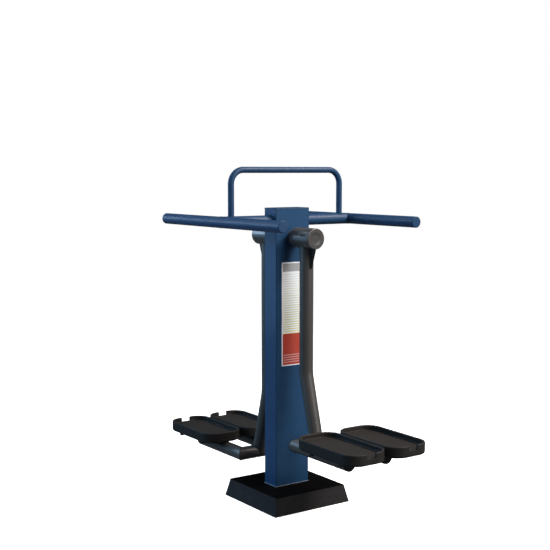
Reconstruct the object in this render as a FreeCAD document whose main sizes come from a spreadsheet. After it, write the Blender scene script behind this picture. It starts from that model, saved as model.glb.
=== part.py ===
import FreeCAD, Part
import math
import os
import Sketcher

# Outdoor pendulum exercise machine: one column, two pendulums that swing side to side.
# Lengths in millimetres, +Z up, origin on the ground below the column's middle.
# X runs along the cross tube, Y along the pivot axle; the front pendulum hangs on the -Y side.

SIZES = {
    "column_width": 177.5,
    "column_depth": 88.5,
    "column_wall": 4.0,
    "column_corner": 1.5,
    "column_rise": 56.0,
    "column_cap_thick": 4.0,
    "flange_size": 340.0,
    "flange_thick": 12.0,
    "flange_corner": 15.0,
    "anchor_spacing": 270.0,
    "anchor_hole_dia": 18.0,
    "drain_hole_dia": 50.0,
    "rib_room": 11.0,
    "rib_length": 62.0,
    "rib_thick": 8.0,
    "rib_edge": 10.0,
    "cover_room": 28.6,
    "cover_taper": 17.0,
    "cover_height": 76.0,
    "cover_wall": 3.0,
    "cover_corner": 4.0,
    "cover_gap": 1.0,
    "handle_dia": 48.3,
    "handle_wall": 3.2,
    "handle_length": 925.0,
    "handle_spacing": 692.0,
    "handle_height": 1256.0,
    "handle_cap_thick": 5.0,
    "handle_cap_bevel": 2.5,
    "handle_plug_length": 20.0,
    "cross_tube_dia": 48.3,
    "cross_tube_wall": 3.2,
    "arch_dia": 26.9,
    "arch_wall": 2.6,
    "arch_inset": 54.5,
    "arch_rise": 220.8,
    "arch_bend": 61.0,
    "pivot_height": 1184.0,
    "axle_dia": 60.3,
    "axle_wall": 8.0,
    "axle_plug_length": 30.0,
    "bushing_wall": 5.85,
    "hub_wall": 9.0,
    "hub_stand_off": 27.0,
    "hub_length": 135.0,
    "hub_rim": 0.5,
    "hub_recess_step": 4.5,
    "bushing_length": 30.0,
    "bushing_flange": 4.0,
    "bushing_flange_room": 0.5,
    "washer_thick": 3.5,
    "washer_inset": 1.0,
    "disc_thick": 6.0,
    "disc_inset": 2.0,
    "axle_bolt_dia": 16.0,
    "axle_bolt_head": 10.0,
    "axle_bolt_flats": 24.0,
    "axle_bolt_reach": 26.0,
    "hub_cap_set": 0.6,
    "hub_cap_thick": 4.0,
    "hub_cap_skirt": 8.0,
    "hub_cap_wall": 3.0,
    "hub_cap_room": 5.0,
    "hub_dish_dia": 56.0,
    "hub_dish_depth": 2.0,
    "hub_dish_slope": 9.0,
    "key_width": 12.0,
    "key_room": 1.45,
    "key_length": 30.0,
    "buffer_room": 1.45,
    "buffer_span": 20.0,
    "swing_limit": 35.0,
    "stop_gap": 0.6,
    "arm_dia": 60.3,
    "arm_wall": 3.6,
    "arm_offset": 146.3,
    "arm_bend": 180.0,
    "bend_rise": 292.0,
    "gusset_height": 83.0,
    "gusset_inset": 6.25,
    "gusset_thick": 8.0,
    "gusset_toe": 4.0,
    "frame_dia": 60.3,
    "frame_wall": 3.2,
    "frame_offset": 224.0,
    "frame_spacing": 194.0,
    "front_frame_height": 302.0,
    "rear_frame_height": 170.0,
    "tube_end": 574.0,
    "tube_cap_thick": 4.0,
    "tube_cap_bevel": 2.0,
    "tube_plug_length": 18.0,
    "pedal_gap": 16.0,
    "pedal_middle": 527.0,
    "pedal_width": 201.0,
    "pedal_length": 389.5,
    "pedal_corner": 68.0,
    "pedal_lift": 22.55,
    "pedal_depth": 21.3,
    "pedal_floor_thick": 6.0,
    "pedal_rim": 10.0,
    "pedal_skirt_wall": 12.0,
    "pedal_rim_round": 4.0,
    "pedal_floor_round": 5.0,
    "pedal_foot_round": 9.5,
    "pedal_rib": 4.0,
    "notch_width": 47.0,
    "plate_room": 3.0,
    "plate_length": 240.0,
    "plate_thick": 5.0,
    "plate_corner": 14.0,
    "bolt_side_edge": 11.0,
    "bolt_end_edge": 24.0,
    "bolt_dia": 12.0,
    "bolt_clearance": 1.0,
    "bolt_flats": 19.0,
    "bolt_head": 7.5,
    "bolt_room": 2.0,
    "bolt_washer_dia": 24.0,
    "bolt_washer_thick": 2.5,
    "spring_washer_dia": 21.0,
    "spring_washer_thick": 3.0,
    "insert_dia": 16.0,
    "insert_length": 15.0,
    "boss_dia": 25.0,
    "weld_gap": 0.3,
    "fit_gap": 0.05,
    "running_gap": 0.05,
    "axial_play": 0.5,
    "thread_gap": 0.3,
}

doc = FreeCAD.newDocument("pendulum_machine")
sheet = doc.addObject("Spreadsheet::Sheet", "sizes")
for row, name in enumerate(SIZES, start=1):
    sheet.set("A%d" % row, name)
    sheet.set("B%d" % row, repr(SIZES[name]))
    sheet.setAlias("B%d" % row, name)
doc.recompute()


class Size:
    """A size with its formula in terms of the sheet and its present value."""

    def __init__(self, text, value):
        self.text = text
        self.value = value

    def __add__(self, other):
        other = as_size(other)
        return Size("(%s + %s)" % (self.text, other.text), self.value + other.value)

    def __sub__(self, other):
        other = as_size(other)
        return Size("(%s - %s)" % (self.text, other.text), self.value - other.value)

    def __mul__(self, factor):
        return Size("(%s * %r)" % (self.text, factor), self.value * factor)

    def __truediv__(self, divisor):
        return Size("(%s / %r)" % (self.text, divisor), self.value / divisor)

    def __neg__(self):
        return Size("(-%s)" % self.text, -self.value)


class SizeTable:
    """Every size of the sheet under its own name."""


def as_size(number):
    """Take a plain number as a size of its own."""
    if isinstance(number, Size):
        return number
    return Size(repr(number), number)


def larger(first, second):
    """The larger of two sizes."""
    return Size("max(%s; %s)" % (first.text, second.text), max(first.value, second.value))


s = SizeTable()
for name in SIZES:
    setattr(s, name, Size("sizes.%s" % name, SIZES[name]))

ZERO = Size("0", 0.0)
UP = FreeCAD.Vector(0, 0, 1)
HALF_TURN = FreeCAD.Rotation(UP, 180)
SUB_PARTS = []


def new_body(label, turned=False):
    """Start a sub-part; a turned one is built at the front and stands at the rear."""
    body = doc.addObject("PartDesign::Body", label)
    body.Label = label
    body.AllowCompound = True
    if turned:
        body.Placement = FreeCAD.Placement(FreeCAD.Vector(0, 0, 0), HALF_TURN)
    SUB_PARTS.append(body)
    return body


def origin_plane(body, role):
    """Find one of the body's own origin planes."""
    return next(item for item in body.Origin.OriginFeatures if item.Role == role)


def new_sketch(body, role, out=None, up=None, lean=None):
    """Put a sketch on an origin plane, moved out along its normal, up, or leaning about its own x."""
    sketch = body.newObject("Sketcher::SketchObject", body.Name + "_sketch")
    sketch.AttachmentSupport = [(origin_plane(body, role), "")]
    sketch.MapMode = "FlatFace"
    if lean is not None:
        lean_turn = FreeCAD.Rotation(FreeCAD.Vector(1, 0, 0), lean.value)
        sketch.AttachmentOffset = FreeCAD.Placement(FreeCAD.Vector(0, 0, 0), lean_turn)
        sketch.setExpression("AttachmentOffset.Rotation.Angle", lean.text)
    if out is not None:
        sketch.setExpression("AttachmentOffset.Base.z", out.text)
    if up is not None:
        sketch.setExpression("AttachmentOffset.Base.y", up.text)
    return sketch


def bind(sketch, constraint, size=None):
    """Add a constraint and tie it to its size."""
    index = sketch.addConstraint(constraint)
    if size is not None:
        sketch.setExpression("Constraints[%d]" % index, size.text)
    return index


def pin_x(sketch, item, end, x):
    """Hold a point's x at a size measured from the sketch's origin."""
    if x is ZERO:
        bind(sketch, Sketcher.Constraint("PointOnObject", item, end, -2))
    else:
        bind(sketch, Sketcher.Constraint("DistanceX", -1, 1, item, end, x.value), x)


def pin_y(sketch, item, end, y):
    """Hold a point's y at a size measured from the sketch's origin."""
    if y is ZERO:
        bind(sketch, Sketcher.Constraint("PointOnObject", item, end, -1))
    else:
        bind(sketch, Sketcher.Constraint("DistanceY", -1, 1, item, end, y.value), y)


def draw_circle(sketch, x, y, radius):
    """Draw a circle about a point."""
    middle = FreeCAD.Vector(x.value, y.value, 0)
    item = sketch.addGeometry(Part.Circle(middle, UP, radius.value), False)
    bind(sketch, Sketcher.Constraint("Radius", item, radius.value), radius)
    if x is ZERO and y is ZERO:
        bind(sketch, Sketcher.Constraint("Coincident", item, 3, -1, 1))
    else:
        pin_x(sketch, item, 3, x)
        pin_y(sketch, item, 3, y)


def draw_polygon(sketch, corners):
    """Draw a closed run of straight lines through the corners."""
    points = [FreeCAD.Vector(x.value, y.value, 0) for x, y in corners]
    first = sketch.GeometryCount
    count = len(points)
    for index in range(count):
        sketch.addGeometry(Part.LineSegment(points[index], points[(index + 1) % count]), False)
    for index in range(count):
        following = first + (index + 1) % count
        bind(sketch, Sketcher.Constraint("Coincident", first + index, 2, following, 1))
    for index, (x, y) in enumerate(corners):
        pin_x(sketch, first + index, 1, x)
        pin_y(sketch, first + index, 1, y)


def draw_box(sketch, left, right, low, high):
    """Draw an upright rectangle between four edges."""
    draw_polygon(sketch, [(left, low), (right, low), (right, high), (left, high)])


def draw_rounded_box(sketch, left, right, low, high, radius):
    """Draw an upright rectangle with four equal round corners."""
    x0, x1, y0, y1, r = left.value, right.value, low.value, high.value, radius.value
    ends = [
        ((x0 + r, y0), (x1 - r, y0)),
        ((x1, y0 + r), (x1, y1 - r)),
        ((x1 - r, y1), (x0 + r, y1)),
        ((x0, y1 - r), (x0, y0 + r)),
    ]
    middles = [(x1 - r, y0 + r), (x1 - r, y1 - r), (x0 + r, y1 - r), (x0 + r, y0 + r)]
    quarter = math.pi / 2
    first = sketch.GeometryCount
    for index in range(4):
        start = FreeCAD.Vector(ends[index][0][0], ends[index][0][1], 0)
        end = FreeCAD.Vector(ends[index][1][0], ends[index][1][1], 0)
        sketch.addGeometry(Part.LineSegment(start, end), False)
    for index in range(4):
        middle = FreeCAD.Vector(middles[index][0], middles[index][1], 0)
        begin = quarter * (index - 1)
        arc = Part.ArcOfCircle(Part.Circle(middle, UP, r), begin, begin + quarter)
        sketch.addGeometry(arc, False)
    for index in range(4):
        line = first + index
        arc = first + 4 + index
        next_line = first + (index + 1) % 4
        bind(sketch, Sketcher.Constraint("Tangent", line, 2, arc, 1))
        bind(sketch, Sketcher.Constraint("Tangent", arc, 2, next_line, 1))
    for index in range(1, 4):
        bind(sketch, Sketcher.Constraint("Equal", first + 4, first + 4 + index))
    bind(sketch, Sketcher.Constraint("Radius", first + 4, r), radius)
    bind(sketch, Sketcher.Constraint("Horizontal", first))
    bind(sketch, Sketcher.Constraint("Horizontal", first + 2))
    bind(sketch, Sketcher.Constraint("Vertical", first + 1))
    bind(sketch, Sketcher.Constraint("Vertical", first + 3))
    pin_y(sketch, first, 1, low)
    pin_y(sketch, first + 2, 1, high)
    pin_x(sketch, first + 1, 1, right)
    pin_x(sketch, first + 3, 1, left)


def pad(body, sketch, length, both_ways=False, backwards=False):
    """Raise a sketch into a solid."""
    feature = body.newObject("PartDesign::Pad", body.Name + "_pad")
    feature.Profile = sketch
    feature.setExpression("Length", length.text)
    if both_ways:
        feature.SideType = "Symmetric"
    feature.Reversed = backwards
    doc.recompute()
    return feature


def cut(body, sketch, length, both_ways=True, backwards=False):
    """Cut a sketch out of the solid, and make sure that something was cut."""
    doc.recompute()
    before = body.Shape.Volume
    feature = body.newObject("PartDesign::Pocket", body.Name + "_cut")
    feature.Profile = sketch
    feature.Type = "Length"
    feature.setExpression("Length", length.text)
    if both_ways:
        feature.SideType = "Symmetric"
    feature.Reversed = backwards
    doc.recompute()
    if body.Shape.Volume >= before:
        raise RuntimeError("nothing was cut from " + body.Label)
    return feature


def revolve(body, sketch, axis, angle=None, backwards=False):
    """Turn a sketch about one of its own axes."""
    feature = body.newObject("PartDesign::Revolution", body.Name + "_turn")
    feature.Profile = sketch
    feature.ReferenceAxis = (sketch, [axis])
    if angle is None:
        feature.Angle = 360.0
    else:
        feature.setExpression("Angle", angle.text)
    feature.Reversed = backwards
    doc.recompute()
    return feature


def repeat(body, features, steps):
    """Repeat features by mirrors and rows, one after the other."""
    pattern = body.newObject("PartDesign::MultiTransform", body.Name + "_repeat")
    pattern.Originals = features
    pattern.Transformations = steps
    body.Tip = pattern
    doc.recompute()
    return pattern


def mirror_step(body, role):
    """A mirror in one of the body's origin planes."""
    step = body.newObject("PartDesign::Mirrored", body.Name + "_mirror")
    step.MirrorPlane = (origin_plane(body, role), [""])
    return step


def row_step(body, role, length):
    """A pair, the second one a length further along an origin axis."""
    step = body.newObject("PartDesign::LinearPattern", body.Name + "_row")
    step.Direction = (origin_plane(body, role), [""])
    step.setExpression("Length", length.text)
    step.Occurrences = 2
    return step


def turned_on_pivot(body, profile):
    """Turn a profile of (distance out from the column's middle, radius) about the pivot axis."""
    sketch = new_sketch(body, "YZ_Plane", up=s.pivot_height)
    draw_polygon(sketch, [(-out, radius) for out, radius in profile])
    return revolve(body, sketch, "H_Axis")


def draw_hexagon(sketch, x, y, flats):
    """Draw a hexagon by its width across flats."""
    corner = flats / math.sqrt(3)
    rise = flats / 2
    half = corner / 2
    corners = [(x + corner, y), (x + half, y + rise), (x - half, y + rise)]
    corners += [(x - corner, y), (x - half, y - rise), (x + half, y - rise)]
    draw_polygon(sketch, corners)


def round_edges(body, radius, chosen):
    """Round the edges whose boxes pass a test."""
    plain = body.Tip
    names = []
    for index, edge in enumerate(plain.Shape.Edges, start=1):
        if chosen(edge.BoundBox):
            names.append("Edge%d" % index)
    rounding = body.newObject("PartDesign::Fillet", body.Name + "_round")
    rounding.Base = (plain, names)
    rounding.setExpression("Radius", radius.text)
    doc.recompute()


def at_height(level):
    """Test for edges that lie at one height."""
    def lies_there(box):
        return max(abs(box.ZMin - level.value), abs(box.ZMax - level.value)) < s.fit_gap.value
    return lies_there


# Places that several pieces share.
column_half_width = s.column_width / 2
column_half_depth = s.column_depth / 2
column_top = larger(s.handle_height, s.pivot_height) + s.column_rise
cover_bottom_half = s.flange_size / 2 + s.cover_room + s.cover_wall
cover_top_half = cover_bottom_half - s.cover_taper
handle_radius = s.handle_dia / 2
cross_radius = s.cross_tube_dia / 2
arch_radius = s.arch_dia / 2
axle_radius = s.axle_dia / 2
axle_bore = axle_radius - s.axle_wall
hub_bore_radius = axle_radius + s.bushing_wall
hub_radius = hub_bore_radius + s.hub_wall
hub_recess = hub_bore_radius + s.hub_recess_step
bushing_flange_radius = hub_recess - s.bushing_flange_room
arm_radius = s.arm_dia / 2
frame_radius = s.frame_dia / 2
handle_x = s.handle_spacing / 2
arch_x = handle_x - s.arch_inset
arch_top = s.handle_height + s.arch_rise
frame_x = s.frame_spacing / 2
pedal_x = (s.pedal_width + s.pedal_gap) / 2
ring_seat = column_half_depth + s.hub_stand_off
hub_inner = ring_seat + s.washer_thick + s.axial_play + s.bushing_flange
hub_outer = hub_inner + s.hub_length
hub_fittings = s.bushing_flange + s.axial_play + s.disc_thick + s.axle_bolt_head
hub_closing = s.hub_cap_room + s.hub_cap_thick + s.hub_cap_set
hub_seat = hub_outer - hub_fittings - hub_closing
axle_end = hub_seat + s.bushing_flange + s.axial_play
disc_end = axle_end + s.disc_thick
bushing_bore = axle_radius + s.running_gap
plate_low = frame_radius + s.weld_gap
plate_high = plate_low + s.plate_thick
plate_half_width = s.pedal_width / 2 - s.pedal_skirt_wall - s.plate_room
bolt_pitch_x = (plate_half_width - s.bolt_side_edge) * 2
bolt_pitch_y = s.plate_length - s.bolt_end_edge * 2
bolt_hole_radius = (s.bolt_dia + s.bolt_clearance) / 2
pedal_floor = plate_high + s.pedal_lift
pedal_top = pedal_floor + s.pedal_depth


def build_ground_flange():
    """Square foot plate with four anchor holes and a drain hole."""
    body = new_body("ground_flange")
    sketch = new_sketch(body, "XY_Plane")
    half = s.flange_size / 2
    draw_rounded_box(sketch, -half, half, -half, half, s.flange_corner)
    draw_circle(sketch, ZERO, ZERO, s.drain_hole_dia / 2)
    place = s.anchor_spacing / 2
    for x in (-place, place):
        for y in (-place, place):
            draw_circle(sketch, x, y, s.anchor_hole_dia / 2)
    pad(body, sketch, s.flange_thick)


def rib_corners(face, sign):
    """Corners of one stiffening rib that stands on the flange against a column face."""
    near = face * sign
    toe = (face + s.rib_length) * sign
    low = s.flange_thick
    top = s.cover_height - s.cover_wall - s.rib_room
    near_edge = (face + s.rib_edge) * sign
    return [(near, low), (toe, low), (toe, low + s.rib_edge), (near_edge, top), (near, top)]


def build_flange_ribs():
    """Four ribs, one against the middle of each column face."""
    body = new_body("flange_ribs")
    for role, face in (("XZ_Plane", column_half_width), ("YZ_Plane", column_half_depth)):
        sketch = new_sketch(body, role)
        for sign in (-1.0, 1.0):
            draw_polygon(sketch, rib_corners(face, sign))
        pad(body, sketch, s.rib_thick, both_ways=True)


def build_base_cover():
    """Hollow cover in the shape of a cut-off pyramid, open below, with a hole for the column."""
    body = new_body("base_cover")
    sketches = []
    for half, height, inset in (
        (cover_bottom_half, ZERO, ZERO),
        (cover_top_half, s.cover_height, ZERO),
        (cover_bottom_half, ZERO, s.cover_wall),
        (cover_top_half, s.cover_height - s.cover_wall, s.cover_wall),
    ):
        sketch = new_sketch(body, "XY_Plane", out=height)
        edge = half - inset
        draw_rounded_box(sketch, -edge, edge, -edge, edge, s.cover_corner - inset)
        sketches.append(sketch)
    outside = body.newObject("PartDesign::AdditiveLoft", "cover_outside")
    outside.Profile = sketches[0]
    outside.Sections = [sketches[1]]
    outside.Ruled = True
    doc.recompute()
    inside = body.newObject("PartDesign::SubtractiveLoft", "cover_inside")
    inside.Profile = sketches[2]
    inside.Sections = [sketches[3]]
    inside.Ruled = True
    opening = new_sketch(body, "XY_Plane", out=s.cover_height)
    wide = column_half_width + s.cover_gap
    deep = column_half_depth + s.cover_gap
    draw_rounded_box(opening, -wide, wide, -deep, deep, s.column_corner + s.cover_gap)
    cut(body, opening, s.cover_wall * 4)


def build_column_tube():
    """Upright welded from four plates, its edges ground round, with holes for the cross tube and the axle."""
    body = new_body("column_tube")
    sketch = new_sketch(body, "XY_Plane", out=s.flange_thick)
    wide = column_half_width
    deep = column_half_depth
    draw_rounded_box(sketch, -wide, wide, -deep, deep, s.column_corner)
    wide_in = wide - s.column_wall
    deep_in = deep - s.column_wall
    draw_box(sketch, -wide_in, wide_in, -deep_in, deep_in)
    pad(body, sketch, column_top - s.column_cap_thick - s.flange_thick)
    cross_hole = new_sketch(body, "YZ_Plane")
    draw_circle(cross_hole, ZERO, s.handle_height, cross_radius + s.weld_gap)
    cut(body, cross_hole, s.column_width * 2)
    axle_hole = new_sketch(body, "XZ_Plane")
    draw_circle(axle_hole, ZERO, s.pivot_height, axle_radius + s.weld_gap)
    cut(body, axle_hole, s.column_depth * 2)


def build_column_cap():
    """Flat plate that closes the column's top, with a locating plug inside the tube."""
    body = new_body("column_cap")
    sketch = new_sketch(body, "XY_Plane", out=column_top - s.column_cap_thick)
    wide = column_half_width
    deep = column_half_depth
    draw_rounded_box(sketch, -wide, wide, -deep, deep, s.column_corner)
    pad(body, sketch, s.column_cap_thick)
    plug = new_sketch(body, "XY_Plane", out=column_top - s.column_cap_thick)
    inset = s.column_wall + s.weld_gap
    draw_box(plug, inset - wide, wide - inset, inset - deep, deep - inset)
    pad(body, plug, s.column_cap_thick, backwards=True)


def build_cross_tube():
    """Tube through the column, its ends shaped to sit against the two handles."""
    body = new_body("cross_tube")
    sketch = new_sketch(body, "YZ_Plane")
    draw_circle(sketch, ZERO, s.handle_height, cross_radius)
    draw_circle(sketch, ZERO, s.handle_height, cross_radius - s.cross_tube_wall)
    pad(body, sketch, s.handle_spacing, both_ways=True)
    saddle = new_sketch(body, "XZ_Plane")
    for x in (-handle_x, handle_x):
        draw_circle(saddle, x, s.handle_height, handle_radius + s.weld_gap)
    cut(body, saddle, s.cross_tube_dia * 2)


def build_handle(label, sign):
    """Long straight grip tube along Y."""
    body = new_body(label)
    sketch = new_sketch(body, "XZ_Plane")
    draw_circle(sketch, handle_x * sign, s.handle_height, handle_radius)
    draw_circle(sketch, handle_x * sign, s.handle_height, handle_radius - s.handle_wall)
    pad(body, sketch, s.handle_length - s.handle_cap_thick * 2, both_ways=True)


def build_handle_caps():
    """Four bevelled end caps, each with a plug inside its tube."""
    body = new_body("handle_caps")
    sketch = new_sketch(body, "YZ_Plane", out=handle_x, up=s.handle_height)
    outer = s.handle_length / 2
    inner = outer - s.handle_cap_thick
    plug = handle_radius - s.handle_wall - s.weld_gap
    deep = inner - s.handle_plug_length
    profile = [(deep, ZERO), (outer, ZERO), (outer, handle_radius - s.handle_cap_bevel)]
    profile += [(outer - s.handle_cap_bevel, handle_radius), (inner, handle_radius)]
    profile += [(inner, plug), (deep, plug)]
    draw_polygon(sketch, profile)
    cap = revolve(body, sketch, "H_Axis")
    repeat(body, [cap], [mirror_step(body, "XZ_Plane"), mirror_step(body, "YZ_Plane")])


def draw_bent_path(sketch, points, radius):
    """Draw straight runs through the points, joined by tangent arcs of one radius."""
    places = [FreeCAD.Vector(x.value, y.value, 0) for x, y in points]
    lines = []
    arcs = []
    start = places[0]
    for index in range(1, len(places) - 1):
        back = (places[index - 1] - places[index]).normalize()
        onward = (places[index + 1] - places[index]).normalize()
        between = (back + onward).normalize()
        half_sine = between.cross(back).Length
        middle = places[index] + between * (radius.value / half_sine)
        reach = radius.value * between.dot(back) / half_sine
        enter = places[index] + back * reach
        leave = places[index] + onward * reach
        lines.append(sketch.addGeometry(Part.LineSegment(start, enter), False))
        turns_left = onward.cross(back).z > 0
        ends = [enter, leave] if turns_left else [leave, enter]
        angles = [math.atan2(end.y - middle.y, end.x - middle.x) for end in ends]
        circle = Part.Circle(middle, UP, radius.value)
        arc = sketch.addGeometry(Part.ArcOfCircle(circle, angles[0], angles[1]), False)
        arcs.append((arc, 1 if turns_left else 2))
        start = leave
    lines.append(sketch.addGeometry(Part.LineSegment(start, places[-1]), False))
    for index, (arc, entry) in enumerate(arcs):
        bind(sketch, Sketcher.Constraint("Tangent", lines[index], 2, arc, entry))
        bind(sketch, Sketcher.Constraint("Tangent", arc, 3 - entry, lines[index + 1], 1))
        bind(sketch, Sketcher.Constraint("Radius", arc, radius.value), radius)
    return lines


def build_arch_tube():
    """Bent hoop that stands on the cross tube between the handles."""
    body = new_body("arch_tube")
    path = new_sketch(body, "XZ_Plane")
    points = [(-arch_x, s.handle_height), (-arch_x, arch_top)]
    points += [(arch_x, arch_top), (arch_x, s.handle_height)]
    lines = draw_bent_path(path, points, s.arch_bend)
    bind(path, Sketcher.Constraint("Vertical", lines[0]))
    bind(path, Sketcher.Constraint("Horizontal", lines[1]))
    bind(path, Sketcher.Constraint("Vertical", lines[2]))
    pin_x(path, lines[0], 1, -arch_x)
    pin_y(path, lines[0], 1, s.handle_height)
    pin_y(path, lines[1], 1, arch_top)
    pin_x(path, lines[2], 2, arch_x)
    pin_y(path, lines[2], 2, s.handle_height)
    section = new_sketch(body, "XY_Plane", out=s.handle_height)
    draw_circle(section, -arch_x, ZERO, arch_radius)
    draw_circle(section, -arch_x, ZERO, arch_radius - s.arch_wall)
    pipe = body.newObject("PartDesign::AdditivePipe", "arch_pipe")
    pipe.Profile = section
    pipe.Spine = path
    doc.recompute()
    saddle = new_sketch(body, "YZ_Plane")
    draw_circle(saddle, ZERO, s.handle_height, cross_radius + s.weld_gap)
    cut(body, saddle, s.handle_spacing * 2)


def build_pivot_axle():
    """Thick tube through the column that carries both hubs."""
    body = new_body("pivot_axle")
    sketch = new_sketch(body, "XZ_Plane")
    draw_circle(sketch, ZERO, s.pivot_height, axle_radius)
    draw_circle(sketch, ZERO, s.pivot_height, axle_bore)
    pad(body, sketch, axle_end * 2, both_ways=True)


def build_axle_plugs():
    """Tapped plugs welded into the two axle ends."""
    body = new_body("axle_plugs")
    bore = s.axle_bolt_dia / 2 + s.thread_gap
    inner = axle_end - s.axle_plug_length
    outside = axle_bore - s.weld_gap
    profile = [(inner, bore), (axle_end, bore), (axle_end, outside), (inner, outside)]
    plug = turned_on_pivot(body, profile)
    repeat(body, [plug], [mirror_step(body, "XZ_Plane")])


class Pendulum:
    """One of the two swinging frames and its fixed fittings on the axle."""

    def __init__(self, name, height, turned):
        self.name = name
        self.height = height
        self.turned = turned

    def body(self, piece):
        """Start one of this pendulum's pieces."""
        return new_body(self.name + "_" + piece, self.turned)

    def hands(self):
        """Left and right as seen from the front, with the sign of x where the piece is built."""
        if self.turned:
            return (("left", 1.0), ("right", -1.0))
        return (("left", -1.0), ("right", 1.0))


def build_axle_fittings(p):
    """Thrust washer welded on the axle, stop key, retaining disc and its bolt, all fixed to the axle."""
    washer = p.body("thrust_washer")
    low = ring_seat
    high = low + s.washer_thick
    bore = axle_radius + s.weld_gap
    rim = bushing_flange_radius - s.washer_inset
    turned_on_pivot(washer, [(low, bore), (high, bore), (high, rim), (low, rim)])

    key = p.body("stop_key")
    middle = (hub_inner + hub_seat) / 2
    sketch = new_sketch(key, "XZ_Plane", out=middle - s.key_length / 2)
    half = s.key_width / 2
    top = s.pivot_height + hub_bore_radius - s.key_room
    draw_box(sketch, -half, half, top - s.key_width, top)
    pad(key, sketch, s.key_length)
    seat = new_sketch(key, "XZ_Plane", out=middle)
    draw_circle(seat, ZERO, s.pivot_height, axle_radius + s.weld_gap)
    cut(key, seat, s.key_length * 2)

    disc = p.body("retaining_disc")
    bore = s.axle_bolt_dia / 2 + s.thread_gap
    rim = bushing_flange_radius - s.disc_inset
    profile = [(axle_end, bore), (disc_end, bore), (disc_end, rim), (axle_end, rim)]
    turned_on_pivot(disc, profile)

    bolt = p.body("axle_bolt")
    shank = new_sketch(bolt, "XZ_Plane", out=disc_end - s.axle_bolt_reach)
    draw_circle(shank, ZERO, s.pivot_height, s.axle_bolt_dia / 2)
    pad(bolt, shank, s.axle_bolt_reach)
    head = new_sketch(bolt, "XZ_Plane", out=disc_end)
    draw_hexagon(head, ZERO, s.pivot_height, s.axle_bolt_flats)
    pad(bolt, head, s.axle_bolt_head)


def at_hub_end(box):
    """Test for the larger edge of the hub's outer end."""
    flat = max(abs(box.YMin + hub_outer.value), abs(box.YMax + hub_outer.value)) < s.fit_gap.value
    return flat and box.ZLength > hub_recess.value * 2 + s.fit_gap.value


def build_hub(p):
    """Bearing housing with its two bushings, end cap and rubber stop buffers."""
    hub = p.body("hub_housing")
    profile = [(hub_inner, hub_bore_radius), (hub_seat, hub_bore_radius), (hub_seat, hub_recess)]
    profile += [(hub_outer, hub_recess), (hub_outer, hub_radius), (hub_inner, hub_radius)]
    turned_on_pivot(hub, profile)
    round_edges(hub, hub_radius - hub_recess - s.hub_rim, at_hub_end)

    bushings = p.body("hub_bushings")
    sleeve = hub_bore_radius - s.fit_gap
    flange = bushing_flange_radius
    inner_end = hub_inner - s.bushing_flange
    deep = hub_inner + s.bushing_length
    profile = [(inner_end, bushing_bore), (deep, bushing_bore), (deep, sleeve)]
    profile += [(hub_inner, sleeve), (hub_inner, flange), (inner_end, flange)]
    turned_on_pivot(bushings, profile)
    outer_end = hub_seat + s.bushing_flange
    deep = hub_seat - s.bushing_length
    profile = [(deep, bushing_bore), (outer_end, bushing_bore), (outer_end, flange)]
    profile += [(hub_seat, flange), (hub_seat, sleeve), (deep, sleeve)]
    turned_on_pivot(bushings, profile)

    cap = p.body("hub_cap")
    face = hub_outer - s.hub_cap_set
    back = face - s.hub_cap_thick
    rim = hub_recess - s.fit_gap
    lip = rim - s.hub_cap_wall
    skirt = back - s.hub_cap_skirt
    dish = s.hub_dish_dia / 2
    low = face - s.hub_dish_depth
    profile = [(back, ZERO), (low, ZERO), (low, dish - s.hub_dish_slope), (face, dish), (face, rim)]
    profile += [(skirt, rim), (skirt, lip), (back, lip)]
    turned_on_pivot(cap, profile)

    buffers = p.body("stop_buffers")
    top = hub_bore_radius - s.fit_gap
    low = axle_radius + s.buffer_room
    middle = (hub_inner + hub_seat) / 2
    near = middle - s.key_length / 2
    far = middle + s.key_length / 2
    key_turn = "asin(%s / %s)" % ((s.key_width / 2).text, axle_radius.text)
    turn = "(%s + %s) * 1 deg + %s" % (s.swing_limit.text, s.stop_gap.text, key_turn)
    for sign, backwards in ((1.0, False), (-1.0, True)):
        lean = Size("%r * (%s)" % (sign, turn), sign * s.swing_limit.value)
        sketch = new_sketch(buffers, "YZ_Plane", up=s.pivot_height, lean=lean)
        draw_box(sketch, -far, -near, low, top)
        revolve(buffers, sketch, "H_Axis", s.buffer_span, backwards)


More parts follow.
